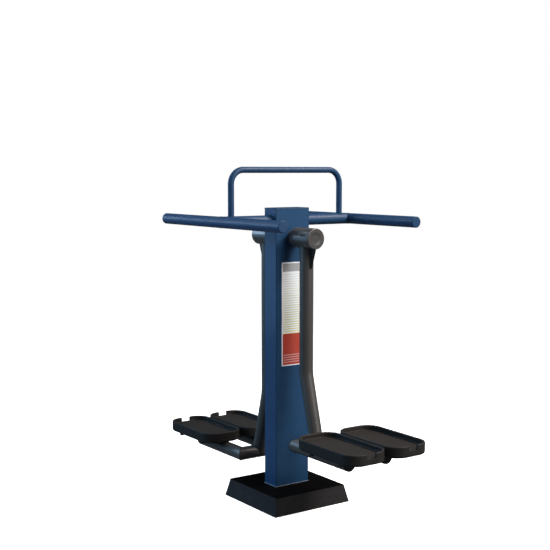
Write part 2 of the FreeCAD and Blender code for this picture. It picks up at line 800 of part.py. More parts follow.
def build_arm(p):
    """Bent arm from hub to foot bar, with a small gusset under the hub's outer end."""
    arm = p.body("arm_tube")
    path = new_sketch(arm, "YZ_Plane")
    bend = p.height + s.bend_rise
    points = [(-s.arm_offset, s.pivot_height), (-s.arm_offset, bend), (-s.frame_offset, p.height)]
    lines = draw_bent_path(path, points, s.arm_bend)
    bind(path, Sketcher.Constraint("Vertical", lines[0]))
    pin_x(path, lines[0], 1, -s.arm_offset)
    pin_y(path, lines[0], 1, s.pivot_height)
    pin_x(path, lines[1], 2, -s.frame_offset)
    pin_y(path, lines[1], 2, p.height)
    corner = path.addGeometry(Part.Point(FreeCAD.Vector(points[1][0].value, bend.value, 0)), True)
    bind(path, Sketcher.Constraint("PointOnObject", corner, 1, lines[0]))
    bind(path, Sketcher.Constraint("PointOnObject", corner, 1, lines[1]))
    pin_y(path, corner, 1, bend)
    section = new_sketch(arm, "XY_Plane", out=s.pivot_height)
    draw_circle(section, ZERO, -s.arm_offset, arm_radius)
    draw_circle(section, ZERO, -s.arm_offset, arm_radius - s.arm_wall)
    pipe = arm.newObject("PartDesign::AdditivePipe", arm.Name + "_pipe")
    pipe.Profile = section
    pipe.Spine = path
    doc.recompute()
    top_saddle = new_sketch(arm, "XZ_Plane", out=s.arm_offset)
    draw_circle(top_saddle, ZERO, s.pivot_height, hub_radius + s.weld_gap)
    cut(arm, top_saddle, s.arm_dia * 2)
    foot_saddle = new_sketch(arm, "YZ_Plane")
    draw_circle(foot_saddle, -s.frame_offset, p.height, frame_radius + s.weld_gap)
    cut(arm, foot_saddle, s.arm_dia * 2)

    gusset = p.body("hub_gusset")
    sketch = new_sketch(gusset, "YZ_Plane")
    near = s.arm_offset + arm_radius + s.weld_gap
    far = hub_outer - s.gusset_inset
    top = s.pivot_height - hub_radius - s.weld_gap
    low = top - s.gusset_height
    corners = [(-near, low), (-near - s.gusset_toe, low), (-far, top - s.gusset_toe)]
    corners += [(-far, top), (-near, top)]
    draw_polygon(sketch, corners)
    pad(gusset, sketch, s.gusset_thick, both_ways=True)


def build_frame(p):
    """Foot bar and two pedal tubes, mitred at the corners, with end caps."""
    bar = p.body("foot_bar")
    sketch = new_sketch(bar, "YZ_Plane")
    draw_circle(sketch, -s.frame_offset, p.height, frame_radius)
    draw_circle(sketch, -s.frame_offset, p.height, frame_radius - s.frame_wall)
    pad(bar, sketch, s.frame_spacing + s.frame_dia, both_ways=True)
    mitre = new_sketch(bar, "XY_Plane", out=p.height)
    near = s.frame_dia - s.frame_offset
    far = -s.frame_offset - s.frame_dia
    for sign in (-1.0, 1.0):
        wide = (frame_x + s.frame_dia - s.weld_gap) * sign
        narrow = (frame_x - s.frame_dia - s.weld_gap) * sign
        draw_polygon(mitre, [(wide, near), (narrow, far), (wide, far)])
    cut(bar, mitre, s.frame_dia * 2)

    for hand, sign in p.hands():
        tube = p.body("pedal_tube_" + hand)
        start = s.frame_offset - s.frame_dia
        sketch = new_sketch(tube, "XZ_Plane", out=start)
        draw_circle(sketch, frame_x * sign, p.height, frame_radius)
        draw_circle(sketch, frame_x * sign, p.height, frame_radius - s.frame_wall)
        pad(tube, sketch, s.tube_end - s.tube_cap_thick - start)
        mitre = new_sketch(tube, "XY_Plane", out=p.height)
        far_side = (frame_x + s.frame_dia * 2) * sign
        near_side = (frame_x - s.frame_dia) * sign
        behind = s.frame_dia * 2 - s.frame_offset
        draw_polygon(mitre, [(far_side, behind), (near_side, far), (near_side, behind)])
        cut(tube, mitre, s.frame_dia * 2)

    caps = p.body("tube_caps")
    inner = s.tube_end - s.tube_cap_thick
    plug = frame_radius - s.frame_wall - s.weld_gap
    deep = inner - s.tube_plug_length
    sketch = new_sketch(caps, "YZ_Plane", out=frame_x, up=p.height)
    profile = [(deep, ZERO), (s.tube_end, ZERO), (s.tube_end, frame_radius - s.tube_cap_bevel)]
    profile += [(s.tube_end - s.tube_cap_bevel, frame_radius), (inner, frame_radius)]
    profile += [(inner, plug), (deep, plug)]
    draw_polygon(sketch, [(-out, radius) for out, radius in profile])
    cap = revolve(caps, sketch, "H_Axis")
    repeat(caps, [cap], [mirror_step(caps, "YZ_Plane")])


def bolt_places(middle_x):
    """Centres of the four bolts under one pedal."""
    places = []
    for across in (bolt_pitch_x / -2, bolt_pitch_x / 2):
        for along in (bolt_pitch_y / -2, bolt_pitch_y / 2):
            places.append((middle_x + across, along - s.pedal_middle))
    return places


def pedal_outline(sketch, middle_x, inset):
    """Rounded outline of the pedal, drawn in by an inset."""
    wide = s.pedal_width / 2 - inset
    long = s.pedal_length / 2 - inset
    middle = -s.pedal_middle
    corner = s.pedal_corner - inset
    draw_rounded_box(sketch, middle_x - wide, middle_x + wide, middle - long, middle + long, corner)


def build_pedal(p, hand, sign):
    """Carrier plate and moulded foot tray of one side."""
    middle_x = pedal_x * sign
    plate = p.body("pedal_plate_" + hand)
    sketch = new_sketch(plate, "XY_Plane", out=p.height + plate_low)
    long = s.plate_length / 2
    middle = -s.pedal_middle
    left = middle_x - plate_half_width
    right = middle_x + plate_half_width
    draw_rounded_box(sketch, left, right, middle - long, middle + long, s.plate_corner)
    for x, y in bolt_places(middle_x):
        draw_circle(sketch, x, y, bolt_hole_radius)
    pad(plate, sketch, s.plate_thick)

    pedal = p.body("pedal_" + hand)
    top = p.height + pedal_top
    skirt = p.height + plate_low + s.plate_thick / 4
    floor = p.height + pedal_floor
    below = floor - s.pedal_floor_thick
    seat = p.height + plate_high
    outline = new_sketch(pedal, "XY_Plane", out=skirt)
    pedal_outline(outline, middle_x, ZERO)
    pad(pedal, outline, top - skirt)
    round_edges(pedal, s.pedal_foot_round, at_height(skirt))
    tray = new_sketch(pedal, "XY_Plane", out=top)
    pedal_outline(tray, middle_x, s.pedal_rim)
    cut(pedal, tray, s.pedal_depth, both_ways=False)
    round_edges(pedal, s.pedal_floor_round, at_height(floor))
    hollow = new_sketch(pedal, "XY_Plane", out=skirt)
    pedal_outline(hollow, middle_x, s.pedal_skirt_wall)
    cut(pedal, hollow, below - skirt, both_ways=False, backwards=True)
    notch = new_sketch(pedal, "XY_Plane", out=top)
    half_notch = s.notch_width / 2
    outer = middle - s.pedal_length / 2
    left = middle_x - half_notch
    right = middle_x + half_notch
    draw_box(notch, left, right, outer - s.pedal_rim, outer + s.pedal_rim * 2)
    cut(pedal, notch, s.pedal_depth, both_ways=False)
    ribs = new_sketch(pedal, "XY_Plane", out=seat)
    half_rib = s.pedal_rib / 2
    inside = (s.pedal_width - s.pedal_skirt_wall) / 2
    for y in (bolt_pitch_y / -2, bolt_pitch_y / 2):
        along = middle + y
        draw_box(ribs, middle_x - inside, middle_x + inside, along - half_rib, along + half_rib)
    pad(pedal, ribs, below - seat + s.pedal_floor_thick / 2)
    long_rib = new_sketch(pedal, "XY_Plane", out=seat)
    reach = (s.pedal_length - s.pedal_skirt_wall) / 2
    draw_box(long_rib, middle_x - half_rib, middle_x + half_rib, middle - reach, middle + reach)
    pad(pedal, long_rib, below - seat + s.pedal_floor_thick / 2)
    bosses = new_sketch(pedal, "XY_Plane", out=seat)
    for x, y in bolt_places(middle_x):
        draw_circle(bosses, x, y, s.boss_dia / 2)
    pad(pedal, bosses, below - seat + s.pedal_floor_thick / 2)
    sockets = new_sketch(pedal, "XY_Plane", out=seat)
    for x, y in bolt_places(middle_x):
        draw_circle(sockets, x, y, s.insert_dia / 2 + s.fit_gap)
    cut(pedal, sockets, s.insert_length, both_ways=False, backwards=True)
    round_edges(pedal, s.pedal_rim_round, at_height(top))


def build_pedal_fasteners(p):
    """Threaded inserts, washers and bolts under both pedals, one group of each."""
    x, y = bolt_places(pedal_x)[0]
    seat = p.height + plate_high
    below = p.height + plate_low
    washer_low = below - s.bolt_washer_thick
    head_top = washer_low - s.spring_washer_thick

    inserts = p.body("pedal_inserts")
    sketch = new_sketch(inserts, "XY_Plane", out=seat)
    draw_circle(sketch, x, y, s.insert_dia / 2)
    draw_circle(sketch, x, y, s.bolt_dia / 2 + s.thread_gap)
    spread(inserts, [pad(inserts, sketch, s.insert_length - s.fit_gap)])

    washers = p.body("pedal_washers")
    sketch = new_sketch(washers, "XY_Plane", out=washer_low)
    draw_circle(sketch, x, y, s.bolt_washer_dia / 2)
    draw_circle(sketch, x, y, bolt_hole_radius)
    flat = pad(washers, sketch, s.bolt_washer_thick)
    sketch = new_sketch(washers, "XY_Plane", out=head_top)
    draw_circle(sketch, x, y, s.spring_washer_dia / 2)
    draw_circle(sketch, x, y, bolt_hole_radius)
    spread(washers, [flat, pad(washers, sketch, s.spring_washer_thick)])

    bolts = p.body("pedal_bolts")
    shank = new_sketch(bolts, "XY_Plane", out=head_top)
    draw_circle(shank, x, y, s.bolt_dia / 2)
    upper = pad(bolts, shank, seat - head_top + s.insert_length - s.bolt_room)
    head = new_sketch(bolts, "XY_Plane", out=head_top)
    draw_hexagon(head, x, y, s.bolt_flats)
    lower = pad(bolts, head, s.bolt_head, backwards=True)
    spread(bolts, [upper, lower])


def spread(body, features):
    """Repeat a fastener at all eight bolt places of one pendulum."""
    steps = [row_step(body, "X_Axis", bolt_pitch_x), row_step(body, "Y_Axis", bolt_pitch_y)]
    steps.append(mirror_step(body, "YZ_Plane"))
    repeat(body, features, steps)


def build_pendulum(p):
    """All pieces of one pendulum."""
    build_axle_fittings(p)
    build_hub(p)
    build_arm(p)
    build_frame(p)
    for hand, sign in p.hands():
        build_pedal(p, hand, sign)
    build_pedal_fasteners(p)


def check_document():
    """Stop if any object failed or any sub-part has no sound shape."""
    doc.recompute()
    for item in doc.Objects:
        if "Invalid" in item.State or "Error" in item.State:
            raise RuntimeError("failed object " + item.Name)
    for body in SUB_PARTS:
        if body.Shape.isNull() or not body.Shape.isValid() or not body.Shape.Solids:
            raise RuntimeError("no sound shape for " + body.Label)


def main():
    """Build every sub-part and write its shape."""
    build_ground_flange()
    build_flange_ribs()
    build_base_cover()
    build_column_tube()
    build_column_cap()
    build_cross_tube()
    build_handle("handle_left", -1.0)
    build_handle("handle_right", 1.0)
    build_handle_caps()
    build_arch_tube()
    build_pivot_axle()
    build_axle_plugs()
    build_pendulum(Pendulum("front", s.front_frame_height, False))
    build_pendulum(Pendulum("rear", s.rear_frame_height, True))
    check_document()
    os.makedirs("parts", exist_ok=True)
    for body in SUB_PARTS:
        body.Shape.exportStep("parts/%s.step" % body.Label)


main()
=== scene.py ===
import math

import bpy
import numpy as np
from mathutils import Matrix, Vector
from bpy.props import FloatProperty, FloatVectorProperty, IntProperty, PointerProperty
from bpy.types import Operator, Panel, PropertyGroup


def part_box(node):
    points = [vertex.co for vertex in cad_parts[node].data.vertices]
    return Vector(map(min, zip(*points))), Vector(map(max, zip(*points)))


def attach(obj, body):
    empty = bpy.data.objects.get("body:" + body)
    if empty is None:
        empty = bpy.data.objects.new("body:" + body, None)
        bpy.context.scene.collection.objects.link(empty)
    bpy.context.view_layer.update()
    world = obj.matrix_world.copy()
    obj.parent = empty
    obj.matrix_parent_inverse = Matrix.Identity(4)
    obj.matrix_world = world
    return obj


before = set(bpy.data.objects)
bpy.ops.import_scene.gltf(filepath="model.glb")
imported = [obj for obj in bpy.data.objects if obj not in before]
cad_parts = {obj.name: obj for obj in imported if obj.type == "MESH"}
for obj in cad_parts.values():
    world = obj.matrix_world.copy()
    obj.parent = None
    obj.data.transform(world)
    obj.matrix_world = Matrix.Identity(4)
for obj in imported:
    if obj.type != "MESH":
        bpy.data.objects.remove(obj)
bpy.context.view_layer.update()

bl_info = {
    "name": "Pendulum Exercise Machine",
    "version": (1, 0, 0),
    "blender": (4, 5, 0),
    "location": "3D View > Sidebar > Pendulum Machine",
    "description": "Dresses an outdoor pendulum exercise machine with coatings, welds and a bare plate",
    "category": "Object",
}

AXIS_X = np.array([1.0, 0.0, 0.0])
AXIS_Y = np.array([0.0, 1.0, 0.0])
AXIS_Z = np.array([0.0, 0.0, 1.0])
ENDS = {"front": -1.0, "rear": 1.0}
BEAD_STEPS = 336
COLUMN_CORNER = 0.0015
CLEAR_ROUGHNESS = 0.13
MOULD_DEPTH = 0.00012


def node_box(node):
    """Lowest and highest corner of a CAD node as arrays."""
    low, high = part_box(node)
    return np.array(low), np.array(high)


def node_middle(node):
    """Middle of a CAD node's box."""
    low, high = node_box(node)
    return (low + high) / 2


# Sizes and colours that a user may change

class CoatingSettings(PropertyGroup):
    """Colours and grain of the painted and moulded surfaces."""

    blue: FloatVectorProperty(
        name="Blue Coat", description="Powder coat of the stand", subtype="COLOR",
        default=(0.0165, 0.0596, 0.140), min=0.0, max=1.0)
    dark: FloatVectorProperty(
        name="Dark Coat", description="Powder coat of the pendulums", subtype="COLOR",
        default=(0.065, 0.0637, 0.0612), min=0.0, max=1.0)
    cover: FloatVectorProperty(
        name="Cover Coat", description="Powder coat of the base cover", subtype="COLOR",
        default=(0.0294, 0.0287, 0.0303), min=0.0, max=1.0)
    plastic: FloatVectorProperty(
        name="Tray Plastic", description="Moulded foot trays and tube caps", subtype="COLOR",
        default=(0.0240, 0.0230, 0.0219), min=0.0, max=1.0)
    peel_size: FloatProperty(
        name="Orange Peel", description="Width of one cell of the coat's orange peel",
        default=0.0022, min=0.0005, max=0.01, unit="LENGTH")
    peel_depth: FloatProperty(
        name="Peel Depth", description="Height of the coat's orange peel",
        default=0.00004, min=0.0, max=0.001, unit="LENGTH", precision=5)
    mould_size: FloatProperty(
        name="Mould Grain", description="Width of one cell of the trays' moulded grain",
        default=0.0016, min=0.0003, max=0.01, unit="LENGTH")


class WeldSettings(PropertyGroup):
    """Size of the weld beads."""

    radius: FloatProperty(
        name="Bead Radius", description="Radius of a weld bead on the large tubes",
        default=0.0021, min=0.001, max=0.01, unit="LENGTH", precision=4)
    fine_radius: FloatProperty(
        name="Fine Bead Radius", description="Radius of a weld bead on thin pieces",
        default=0.0016, min=0.0005, max=0.01, unit="LENGTH", precision=4)
    flush_radius: FloatProperty(
        name="Flush Bead Radius", description="Radius of a weld bead that is ground nearly flush",
        default=0.0012, min=0.0005, max=0.01, unit="LENGTH", precision=4)
    pitch: FloatProperty(
        name="Ripple Pitch", description="Length of one ripple of the bead",
        default=0.0042, min=0.001, max=0.02, unit="LENGTH", precision=4)
    ripple: FloatProperty(
        name="Ripple Height", description="Share of the radius by which a ripple swells",
        default=0.13, min=0.0, max=0.5, subtype="FACTOR")
    sides: IntProperty(
        name="Bead Sides", description="Points round a bead", default=12, min=6, max=32)


class PlateSettings(PropertyGroup):
    """Size, place and colours of the bare plate on the column."""

    width: FloatProperty(
        name="Width", description="Width of the plate", default=0.118, min=0.02, unit="LENGTH")
    low: FloatProperty(
        name="Lower Edge", description="Height of its lower edge", default=0.615, unit="LENGTH")
    high: FloatProperty(
        name="Upper Edge", description="Height of its upper edge", default=1.074, unit="LENGTH")
    thick: FloatProperty(
        name="Thickness", description="Thickness of the plate", default=0.0012,
        min=0.0003, unit="LENGTH", precision=4)
    corner: FloatProperty(
        name="Corner", description="Radius of its corners", default=0.004, unit="LENGTH")
    margin: FloatProperty(
        name="Margin", description="Width of the pale border", default=0.005, unit="LENGTH")
    header: FloatProperty(
        name="Header", description="Height of the top field", default=0.036, unit="LENGTH")
    footer: FloatProperty(
        name="Footer", description="Height of the bottom field", default=0.138, unit="LENGTH")
    border_colour: FloatVectorProperty(
        name="Border", description="Colour of the border", subtype="COLOR",
        default=(0.89, 0.955, 1.0), min=0.0, max=1.0)
    header_colour: FloatVectorProperty(
        name="Header Colour", description="Colour of the top field", subtype="COLOR",
        default=(0.36, 0.375, 0.39), min=0.0, max=1.0)
    body_colour: FloatVectorProperty(
        name="Middle Colour", description="Colour of the middle field", subtype="COLOR",
        default=(0.88, 0.945, 1.0), min=0.0, max=1.0)
    footer_colour: FloatVectorProperty(
        name="Footer Colour", description="Colour of the bottom field", subtype="COLOR",
        default=(0.445, 0.036, 0.016), min=0.0, max=1.0)
    rule_colour: FloatVectorProperty(
        name="Rules", description="Colour of the blank ruled lines", subtype="COLOR",
        default=(0.66, 0.66, 0.20), min=0.0, max=1.0)
    # Painted light: the plate glows a little, though it is no lamp.
    painted_glow: FloatProperty(
        name="Shine", description="Light that the reflective film gives back", default=0.08, min=0.0)
    rule_pitch: FloatProperty(
        name="Rule Pitch", description="Distance between the ruled lines", default=0.0105, unit="LENGTH")


class StageSettings(PropertyGroup):
    """Camera and light."""

    camera_place: FloatVectorProperty(
        name="Camera", description="Where the camera stands", subtype="TRANSLATION",
        default=(-2.71381, -3.80307, 1.47044), unit="LENGTH")
    camera_turn: FloatVectorProperty(
        name="Camera Turn", description="How the camera is turned", subtype="EULER",
        default=(math.radians(84.41), 0.0, math.radians(-34.87)), unit="ROTATION")
    lens: FloatProperty(
        name="Lens", description="Focal length for a 36 mm wide frame", default=69.33, unit="CAMERA")
    warm: FloatProperty(
        name="Warm Lights", description="Power of the main warm light in front", default=306.0, min=0.0)
    cool: FloatProperty(
        name="Cool Lights", description="Power of the main cool light behind", default=166.0, min=0.0)
    panel: FloatProperty(
        name="Back Panel", description="Power of the wide dim panel behind", default=9.8, min=0.0)
    panel_size: FloatProperty(
        name="Panel Size", description="Width of the dim panel as a share of its distance", default=0.433,
        min=0.02, subtype="FACTOR")
    light_size: FloatProperty(
        name="Light Size", description="Width of each soft light as a share of its distance", default=0.325,
        min=0.02, subtype="FACTOR")
    light_aim: FloatProperty(
        name="Light Aim", description="Height that the soft lights look at", default=0.9, unit="LENGTH")
    sky: FloatProperty(
        name="Sky", description="Strength of the even light all round", default=0.096, min=0.0)
    bounce: FloatProperty(
        name="Bounce", description="Strength of the light from the floor", default=0.14, min=0.0)
    gleam: FloatProperty(
        name="Gleam", description="Strength of the floor in reflections", default=0.16, min=0.0)
    floor_size: FloatProperty(
        name="Floor", description="Half width of the floor", default=14.0, unit="LENGTH")


# Surfaces from arrays

def outward(points, faces):
    """Turn the faces so that the closed mesh's signed volume, the sum of its face cones, is positive."""
    corners = points[faces]
    first = np.einsum("ij,ij->i", corners[:, 0], np.cross(corners[:, 1], corners[:, 2]))
    second = np.einsum("ij,ij->i", corners[:, 0], np.cross(corners[:, 2], corners[:, 3]))
    return faces if (first + second).sum() > 0 else faces[:, ::-1]


def grid_piece(name, grid, closed):
    """Mesh of a grid of rings: each ring closes on itself, and the rings close or end in caps."""
    rings, sides, _ = grid.shape
    index = np.arange(rings * sides).reshape(rings, sides)
    here = index if closed else index[:-1]
    onward = np.roll(index, -1, axis=0) if closed else index[1:]
    quads = [here, np.roll(here, -1, axis=1), np.roll(onward, -1, axis=1), onward]
    faces = np.stack(quads, axis=-1).reshape(-1, 4)
    points = grid.reshape(-1, 3)
    faces = outward(points - points.mean(axis=0), faces)
    turned = faces[0, 1] != index[0, 1]
    polygons = faces.tolist()
    if not closed:
        first, last = index[0].tolist(), index[-1].tolist()
        polygons.append(first if turned else first[::-1])
        polygons.append(last[::-1] if turned else last)
    mesh = bpy.data.meshes.new(name)
    mesh.from_pydata(points.tolist(), [], polygons)
    mesh.shade_smooth()
    mesh.validate()
    piece = bpy.data.objects.new(name, mesh)
    bpy.context.scene.collection.objects.link(piece)
    return piece


def place_piece(piece, body, material):
    """Give a new piece its body and its finish."""
    piece.data.materials.append(material)
    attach(piece, body)


def full_turn(count):
    """Even angles once round a circle."""
    return np.linspace(0.0, 2.0 * np.pi, count, endpoint=False)


def sweep(path, side, other, radius, sides):
    """Rings about the points of a path, each in the plane of its two directions."""
    turn = full_turn(sides)[None, :, None]
    circle = np.cos(turn) * side[:, None] + np.sin(turn) * other[:, None]
    return path[:, None] + radius[:, None, None] * circle


def bead_piece(name, path, guide, closed, radius, weld):
    """Weld bead along a path.

    A circle whose radius swells by |sin| once per ripple is carried along the path, square to it, from a
    guide direction. An open bead narrows at its ends by the fourth root of a sine, cut a little short.
    """
    ahead = np.roll(path, -1, axis=0) - np.roll(path, 1, axis=0) if closed else np.gradient(path, axis=0)
    tangent = ahead / np.linalg.norm(ahead, axis=1, keepdims=True)
    steps = np.linalg.norm(np.diff(path, axis=0), axis=1)
    travel = np.concatenate([[0.0], np.cumsum(steps)])
    length = travel[-1] + (np.linalg.norm(path[0] - path[-1]) if closed else 0.0)
    ripples = max(2, round(length / weld.pitch))
    swell = 1.0 + weld.ripple * np.abs(np.sin(np.pi * ripples * travel / length))
    if not closed:
        cut = 0.02
        wave = np.sin(np.pi * (cut + (1.0 - 2.0 * cut) * travel / length))
        swell = swell * np.sqrt(wave.clip(0.0)) ** 0.5
    side = guide - np.einsum("ij,ij->i", guide, tangent)[:, None] * tangent
    side = side / np.linalg.norm(side, axis=1, keepdims=True)
    other = np.cross(tangent, side)
    return grid_piece(name, sweep(path, side, other, radius * swell, weld.sides), closed)


def lay_beads(beads, body, material, weld):
    """Make the listed weld beads and give each its body and finish."""
    for name, (path, away), closed, radius in beads:
        place_piece(bead_piece(name, path, away, closed, radius, weld), body, material)


def saddle_path(centre, branch, main, branch_radius, main_radius):
    """Line where a branch tube meets a main tube at a right angle, and its direction away from the branch.

    At angle t round the branch the line is branch_radius from the branch's axis, and along the branch it
    is the root of main_radius^2 - (branch_radius sin t)^2 from the main tube's axis.
    """
    turn = full_turn(BEAD_STEPS)
    across = np.cross(branch, main)
    along = np.sqrt((main_radius ** 2 - (branch_radius * np.sin(turn)) ** 2).clip(0.0))
    radial = np.outer(np.cos(turn), main) + np.outer(np.sin(turn), across)
    return centre + np.outer(along, branch) + branch_radius * radial, radial


def ring_path(centre, axis, up, radius):
    """Circle about an axis, and its direction away from that axis."""
    turn = full_turn(BEAD_STEPS)
    radial = np.outer(np.cos(turn), up) + np.outer(np.sin(turn), np.cross(axis, up))
    return centre + radius * radial, radial


def mitre_path(corner, outer, radius):
    """Oval where two equal tubes meet at a square corner, and its direction away from the middle.

    At angle t it is radius cos t towards the outer corner along both tubes, and radius sin t upwards.
    """
    turn = full_turn(BEAD_STEPS)
    radial = np.outer(np.cos(turn), outer) + np.outer(np.sin(turn), AXIS_Z)
    return corner + radius * radial, radial


def line_path(start, end, away, count=64):
    """Straight run between two points, and its constant direction away from the joint."""
    share = np.linspace(0.0, 1.0, count)[:, None]
    return start + share * (end - start), np.tile(away, (count, 1))


def rounded_outline(half_width, half_height, corner, per_corner=12):
    """Closed outline of a rectangle with round corners: four quarter circles about inset corner points."""
    quarter = np.linspace(0.0, np.pi / 2.0, per_corner)
    angle = (quarter[None, :] + np.pi / 2.0 * np.arange(4)[:, None]).ravel()
    signs = np.array([[1.0, 1.0], [-1.0, 1.0], [-1.0, -1.0], [1.0, -1.0]])
    inset = np.array([half_width - corner, half_height - corner])
    middles = np.repeat(signs * inset, per_corner, axis=0)
    return middles + corner * np.stack([np.cos(angle), np.sin(angle)], axis=-1)


def hoop_piece(name, column, height, radius, sides=12):
    """Bead round the column: a circle carried along its rounded outline, turned to face outwards."""
    outline = rounded_outline(column[0], column[1], COLUMN_CORNER)
    count = len(outline)
    path = np.column_stack([outline, np.full(count, height)])
    outwards = outline / np.linalg.norm(outline, axis=1, keepdims=True)
    side = np.column_stack([outwards, np.zeros(count)])
    other = np.tile(AXIS_Z, (count, 1))
    return grid_piece(name, sweep(path, side, other, np.full(count, radius), sides), True)


# Shader nodes and groups that several finishes share

def new_group(name, inputs, outputs):
    """Empty shader node group with named value, vector or colour sockets."""
    group = bpy.data.node_groups.new(name, "ShaderNodeTree")
    for label, kind in inputs:
        group.interface.new_socket(label, in_out="INPUT", socket_type=kind)
    for label, kind in outputs:
        group.interface.new_socket(label, in_out="OUTPUT", socket_type=kind)
    enter = group.nodes.new("NodeGroupInput")
    leave = group.nodes.new("NodeGroupOutput")
    return group, enter, leave


def feed(tree, socket, value):
    """Link a socket to another one, or set it to a number or a colour."""
    if isinstance(value, bpy.types.NodeSocket):
        tree.links.new(value, socket)
    elif socket.type == "RGBA":
        socket.default_value = (*value, 1.0)
    else:
        socket.default_value = value


def noise_node(tree, vector, scale, detail, roughness=0.5):
    """Noise texture fed by a vector, with a scale that is a number or a socket."""
    node = tree.nodes.new("ShaderNodeTexNoise")
    values = {"Vector": vector, "Scale": scale, "Detail": detail, "Roughness": roughness}
    for label, value in values.items():
        feed(tree, node.inputs[label], value)
    return node.outputs["Fac"]


def split_vector(tree, vector):
    """X, Y and Z outputs of a vector socket."""
    apart = tree.nodes.new("ShaderNodeSeparateXYZ")
    tree.links.new(vector, apart.inputs[0])
    return apart.outputs


def math_node(tree, operation, first, second=0.0):
    """Math on one or two sockets or numbers."""
    node = tree.nodes.new("ShaderNodeMath")
    node.operation = operation
    for socket, value in zip(node.inputs, (first, second)):
        feed(tree, socket, value)
    return node.outputs[0]


def range_node(tree, value, low, high, to_low, to_high):
    """Value moved from one range to another, held inside it."""
    node = tree.nodes.new("ShaderNodeMapRange")
    tree.links.new(value, node.inputs["Value"])
    for label, number in (("From Min", low), ("From Max", high), ("To Min", to_low), ("To Max", to_high)):
        node.inputs[label].default_value = number
    return node.outputs["Result"]


def noise_range(tree, noise, to_low, to_high):
    """Noise, which lies mostly between 0.3 and 0.7, moved to another range."""
    return range_node(tree, noise, 0.3, 0.7, to_low, to_high)


def weaken(tree, mask, share):
    """Mask from nought to one, brought down to a share."""
    return range_node(tree, mask, 0.0, 1.0, 0.0, share)


def blend_node(tree, factor, first, second):
    """Colour between two colours or colour sockets."""
    node = tree.nodes.new("ShaderNodeMix")
    node.data_type = "RGBA"
    colours = [socket for socket in node.inputs if socket.type == "RGBA"]
    tree.links.new(factor, node.inputs["Factor"])
    for socket, colour in zip(colours, (first, second)):
        feed(tree, socket, colour)
    return next(socket for socket in node.outputs if socket.type == "RGBA")


def coat_group():
    """Grain of a sprayed or moulded surface: fine cells for the bump, clouds and specks for tone."""
    found = bpy.data.node_groups.get("coat_grain")
    if found:
        return found
    inputs = [("Vector", "NodeSocketVector"), ("Fine Scale", "NodeSocketFloat")]
    outputs = [("Fine", "NodeSocketFloat"), ("Cloud", "NodeSocketFloat"), ("Speck", "NodeSocketFloat")]
    group, enter, leave = new_group("coat_grain", inputs, outputs)
    vector = enter.outputs["Vector"]
    fine = noise_node(group, vector, enter.outputs["Fine Scale"], detail=2.0)
    cloud = noise_node(group, vector, scale=7.0, detail=3.0, roughness=0.55)
    speck = noise_node(group, vector, scale=420.0, detail=1.0)
    group.links.new(fine, leave.inputs["Fine"])
    group.links.new(cloud, leave.inputs["Cloud"])
    group.links.new(speck, leave.inputs["Speck"])
    return group


def dust_group():
    """Dust mask: strongest near the ground, broken into patches by noise."""
    found = bpy.data.node_groups.get("settled_dust")
    if found:
        return found
    inputs = [("Vector", "NodeSocketVector"), ("Reach", "NodeSocketFloat")]
    group, enter, leave = new_group("settled_dust", inputs, [("Dust", "NodeSocketFloat")])
    height = split_vector(group, enter.outputs["Vector"])["Z"]
    near = math_node(group, "DIVIDE", height, enter.outputs["Reach"])
    low = math_node(group, "SUBTRACT", 1.0, near)
    patches = noise_node(group, enter.outputs["Vector"], scale=38.0, detail=5.0, roughness=0.62)
    bare, full = 0.42, 0.68
    spotted = range_node(group, patches, bare, full, 0.0, 1.0)
    held = math_node(group, "MULTIPLY", math_node(group, "MAXIMUM", low, 0.0), spotted)
    group.links.new(held, leave.inputs["Dust"])
    return group


# Finishes

def new_material(name):
    """Node material with its shader and object coordinates."""
    material = bpy.data.materials.new(name)
    material.use_nodes = True
    tree = material.node_tree
    shader = tree.nodes["Principled BSDF"]
    place = tree.nodes.new("ShaderNodeTexCoord").outputs["Object"]
    return material, tree, shader, place


def place_group(tree, group, **values):
    """Put a group into a material, with sockets linked or set by name."""
    node = tree.nodes.new("ShaderNodeGroup")
    node.node_tree = group
    for label, value in values.items():
        feed(tree, node.inputs[label.replace("_", " ")], value)
    return node


def add_bump(tree, shader, height, depth):
    """Bump of a height in metres."""
    bump = tree.nodes.new("ShaderNodeBump")
    bump.inputs["Distance"].default_value = depth
    bump.inputs["Strength"].default_value = 1.0
    tree.links.new(height, bump.inputs["Height"])
    tree.links.new(bump.outputs["Normal"], shader.inputs["Normal"])


def coat_material(name, colour, grain, depth, roughness, gloss, shade=None, clear=0.0):
    """Sprayed or moulded finish: tone clouds, specks, grain and roughness from the shared group.

    A shade function may change the colour further from the object coordinates, and a clear coat may lie
    on top.
    """
    found = bpy.data.materials.get(name)
    if found:
        return found
    material, tree, shader, place = new_material(name)
    coat = place_group(tree, coat_group(), Vector=place, Fine_Scale=1.0 / grain)
    base = np.array(colour)
    dull, full, bright = base * 0.90, base * 1.10, np.minimum(base * 1.22 + 0.002, 1.0)
    tone = noise_range(tree, coat.outputs["Cloud"], 0.0, 1.0)
    clouded = blend_node(tree, tone, dull, full)
    speckled = noise_range(tree, coat.outputs["Speck"], 0.0, 0.55)
    shown = blend_node(tree, speckled, clouded, bright)
    if shade:
        shown = shade(tree, place, shown)
    tree.links.new(shown, shader.inputs["Base Color"])
    rough = noise_range(tree, coat.outputs["Cloud"], roughness - 0.04, roughness + 0.05)
    tree.links.new(rough, shader.inputs["Roughness"])
    shader.inputs["Specular IOR Level"].default_value = gloss
    shader.inputs["Coat Weight"].default_value = clear
    shader.inputs["Coat Roughness"].default_value = CLEAR_ROUGHNESS
    add_bump(tree, shader, coat.outputs["Fine"], depth)
    return material


def finish_nodes(material, nodes):
    """Give CAD nodes one finish."""
    for node in nodes:
        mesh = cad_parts[node].data
        mesh.materials.clear()
        mesh.materials.append(material)


